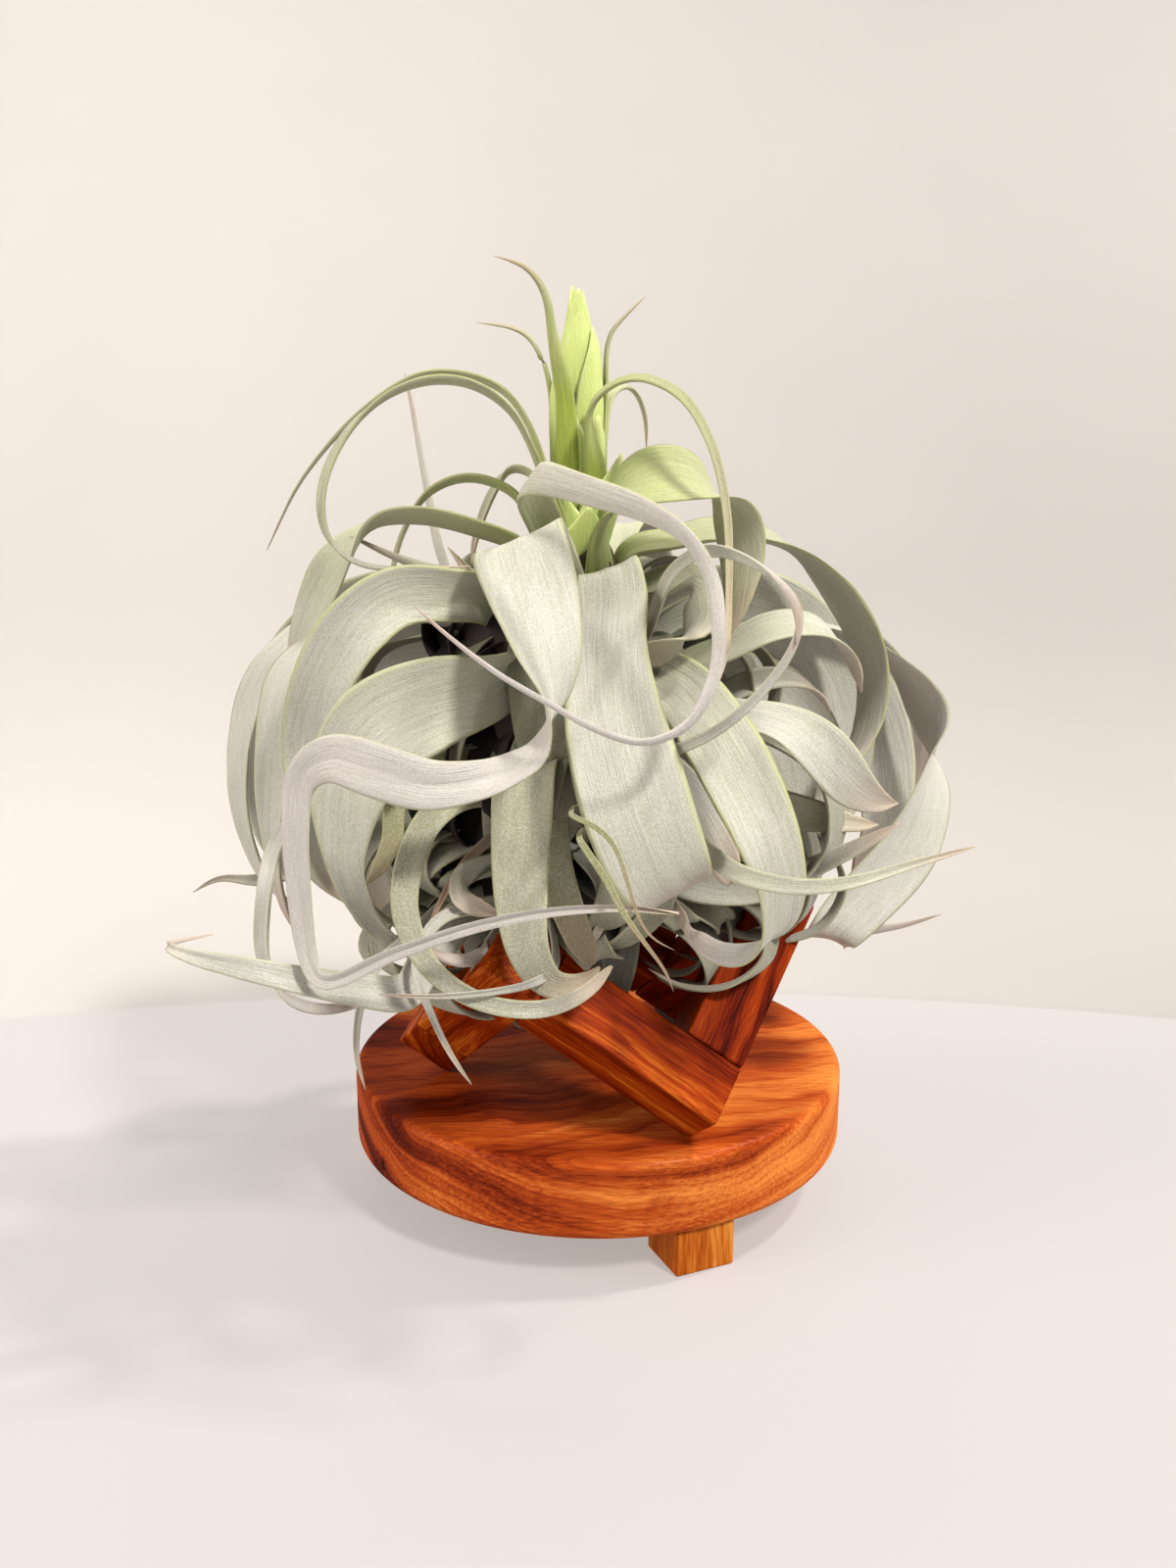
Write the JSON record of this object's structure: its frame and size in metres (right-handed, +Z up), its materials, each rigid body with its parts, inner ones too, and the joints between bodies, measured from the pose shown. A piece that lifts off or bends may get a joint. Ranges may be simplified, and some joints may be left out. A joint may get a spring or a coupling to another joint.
{
  "type": "air plant in a wooden stand",
  "caption": "Silvery rosette air plant with a young flower spike, its strap leaves arching and curling, resting in an open zig-zag ring of wooden bars on a round wooden base.",
  "frame": {"origin": "middle of the box round the whole object seen from above, on the surface that the feet stand on", "axes": "+Z up along the stem and the flower spike, -Y towards the viewer of the picture, +X to that viewer's right"},
  "size_m": [0.2414, 0.1884, 0.2692],
  "materials": {
    "wood": "oiled satin hardwood",
    "leaf": "matte, mealy silver scales",
    "young_leaf": "smooth satin green",
    "stem": "dry, rough bark"
  },
  "bodies": {
    "root": {"stand_disc": "wood", "stand_foot_1": "wood", "stand_foot_2": "wood", "stand_foot_3": "wood", "ring_bar_front": "wood", "ring_bar_front_left": "wood", "ring_bar_back_left": "wood", "ring_bar_back": "wood", "ring_bar_back_right": "wood", "ring_bar_right": "wood", "stem": "stem", "flower_spike": "young_leaf", "spike_leaf_arch_right": "young_leaf", "spike_leaf_tall": "young_leaf", "spike_leaf_left": "young_leaf", "spike_leaf_right": "young_leaf", "spike_leaf_back_right": "young_leaf", "spike_leaf_upper_left": "young_leaf", "spike_leaf_left_hoop": "young_leaf", "leaf_crown_left": "leaf", "leaf_crown_left_low": "leaf", "leaf_back_upright": "leaf", "leaf_crown_right": "leaf", "leaf_right_great_arch": "leaf", "leaf_front_loop": "leaf", "leaf_front_long": "leaf", "leaf_front_twist": "leaf", "leaf_left_great_arch": "leaf", "leaf_left_broad": "leaf", "leaf_lower_loop": "leaf", "leaf_front_hanging": "leaf", "leaf_front_second": "leaf", "leaf_left_outer": "leaf", "leaf_left_second": "leaf", "leaf_left_ring": "leaf", "leaf_left_pointing": "leaf", "leaf_back_left_low": "leaf", "leaf_small_yellow": "leaf", "leaf_hanging_tip": "leaf", "leaf_yellow_strand": "leaf", "leaf_yellow_hanging": "leaf", "leaf_inner_curl": "leaf", "leaf_right_tucked": "leaf", "leaf_right_back_tip": "leaf", "leaf_right_outer": "leaf", "leaf_right_arch": "leaf", "leaf_right_small_arch": "leaf", "leaf_right_folded": "leaf", "leaf_right_yellow": "leaf", "leaf_right_pale_band": "leaf", "leaf_right_long_thin": "leaf", "leaf_right_hook": "leaf", "leaf_right_low_band": "leaf", "leaf_right_shaded": "leaf", "leaf_right_rising_tip": "leaf", "leaf_back_1": "leaf", "leaf_back_2": "leaf", "leaf_back_3": "leaf", "leaf_back_4": "leaf", "leaf_back_5": "leaf"}
  },
  "joints": []
}
